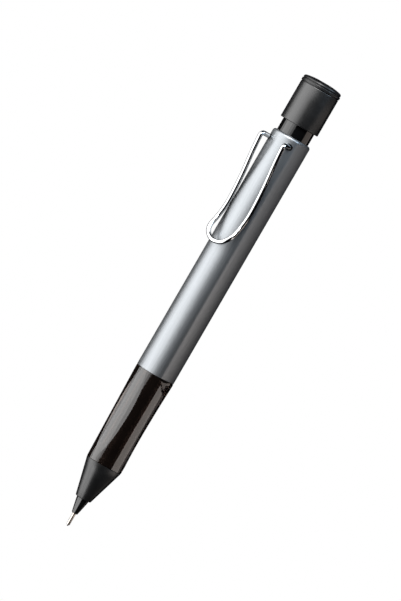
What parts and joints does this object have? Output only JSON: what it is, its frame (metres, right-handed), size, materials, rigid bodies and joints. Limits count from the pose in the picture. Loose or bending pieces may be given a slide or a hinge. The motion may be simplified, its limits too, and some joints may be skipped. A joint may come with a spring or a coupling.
{
  "type": "mechanical pencil",
  "caption": "Push-button mechanical pencil with a satin metal barrel, a bent wire pocket clip, a smoky clear three-sided grip and a black nose cone.",
  "frame": {"origin": "on the pencil's axis at the end of the lead, in its rest position", "axes": "+Z from the lead point to the push button; -Y towards the pocket clip; +X completes the frame, and the pencil mirrors across X = 0"},
  "size_m": [0.0118, 0.0145, 0.1392],
  "materials": {
    "anodised_barrel": "satin graphite-grey anodised",
    "brass_insert": "machined",
    "smoky_grip": "smoky clear plastic, polished",
    "matte_nose": "satin black",
    "gloss_tip": "gloss black",
    "steel_sleeve": "polished",
    "retainer_rubber": "matte",
    "sleeve_plastic": "satin dark grey",
    "gloss_collar": "gloss black",
    "chrome_wire": "polished chrome plate",
    "chuck_brass": "machined",
    "connector_plastic": "moulded",
    "reservoir_plastic": "moulded",
    "graphite": "satin graphite",
    "ring_steel": "machined",
    "spring_steel": "drawn wire",
    "matte_button": "satin black",
    "satin_button_ring": "satin black",
    "satin_button_end": "satin black",
    "holder_steel": "drawn",
    "eraser_rubber": "matte white",
    "pin_steel": "drawn wire"
  },
  "bodies": {
    "barrel": {"barrel_tube": "anodised_barrel", "barrel_insert": "brass_insert", "grip_section": "smoky_grip", "nose_cone": "matte_nose", "tip_cone": "gloss_tip", "lead_sleeve": "steel_sleeve", "lead_retainer": "retainer_rubber", "mechanism_sleeve": "sleeve_plastic", "rear_collar": "gloss_collar", "return_spring": "spring_steel"},
    "clip": {"clip_wire": "chrome_wire"},
    "mechanism": {"chuck_body": "chuck_brass", "chuck_connector": "connector_plastic", "lead_reservoir": "reservoir_plastic", "spare_lead_1": "graphite", "spare_lead_2": "graphite"},
    "jaw_1": {"chuck_jaw_1": "chuck_brass"},
    "jaw_2": {"chuck_jaw_2": "chuck_brass"},
    "jaw_3": {"chuck_jaw_3": "chuck_brass"},
    "ring": {"clutch_ring": "ring_steel"},
    "writing_lead": {"lead": "graphite"},
    "cap": {"button_shell": "matte_button", "button_ring": "satin_button_ring", "button_end_disc": "satin_button_end"},
    "eraser_unit": {"eraser_holder": "holder_steel", "eraser": "eraser_rubber", "cleaning_pin": "pin_steel"}
  },
  "joints": [
    {"name": "button_press", "type": "slide", "parent": "barrel", "child": "mechanism", "axis": [0, 0, -1], "range_m": [0, 0.003], "stiffness_N_per_m": 600, "springref_m": -0.002, "deforming": ["return_spring"]},
    {"name": "jaw_1_open", "type": "hinge", "parent": "mechanism", "child": "jaw_1", "pos_m": [0, 0.00085, 0.0274], "axis": [1, 0, 0], "range_deg": [0, 1.5]},
    {"name": "jaw_2_open", "type": "hinge", "parent": "mechanism", "child": "jaw_2", "pos_m": [-0.00074, -0.00042, 0.0274], "axis": [-0.5, 0.866, 0], "range_deg": [0, 1.5]},
    {"name": "jaw_3_open", "type": "hinge", "parent": "mechanism", "child": "jaw_3", "pos_m": [0.00074, -0.00042, 0.0274], "axis": [-0.5, -0.866, 0], "range_deg": [0, 1.5]},
    {"name": "clutch_ring_slide", "type": "slide", "parent": "barrel", "child": "ring", "axis": [0, 0, -1], "range_m": [0, 0.001]},
    {"name": "lead_feed", "type": "slide", "parent": "barrel", "child": "writing_lead", "axis": [0, 0, -1], "range_m": [-0.0003, 0.005]},
    {"name": "cap_pull", "type": "slide", "parent": "mechanism", "child": "cap", "axis": [0, 0, 1], "range_m": [0, 0.03]},
    {"name": "eraser_pull", "type": "slide", "parent": "mechanism", "child": "eraser_unit", "axis": [0, 0, 1], "range_m": [0, 0.024]},
    {"name": "clip_flex", "type": "hinge", "parent": "barrel", "child": "clip", "pos_m": [0, -0.00397, 0.1193], "axis": [-1, 0, 0], "range_deg": [0, 6], "stiffness_Nm_per_rad": 0.5, "springref_deg": -1.15}
  ],
  "couplings": [
    {"joint": "jaw_1_open", "follows": "button_press", "rad_per_m": 8.7258},
    {"joint": "jaw_2_open", "follows": "button_press", "rad_per_m": 8.7258},
    {"joint": "jaw_3_open", "follows": "button_press", "rad_per_m": 8.7258},
    {"joint": "clutch_ring_slide", "follows": "button_press", "ratio": 0.3333},
    {"joint": "eraser_pull", "follows": "cap_pull", "ratio": 0.8}
  ]
}
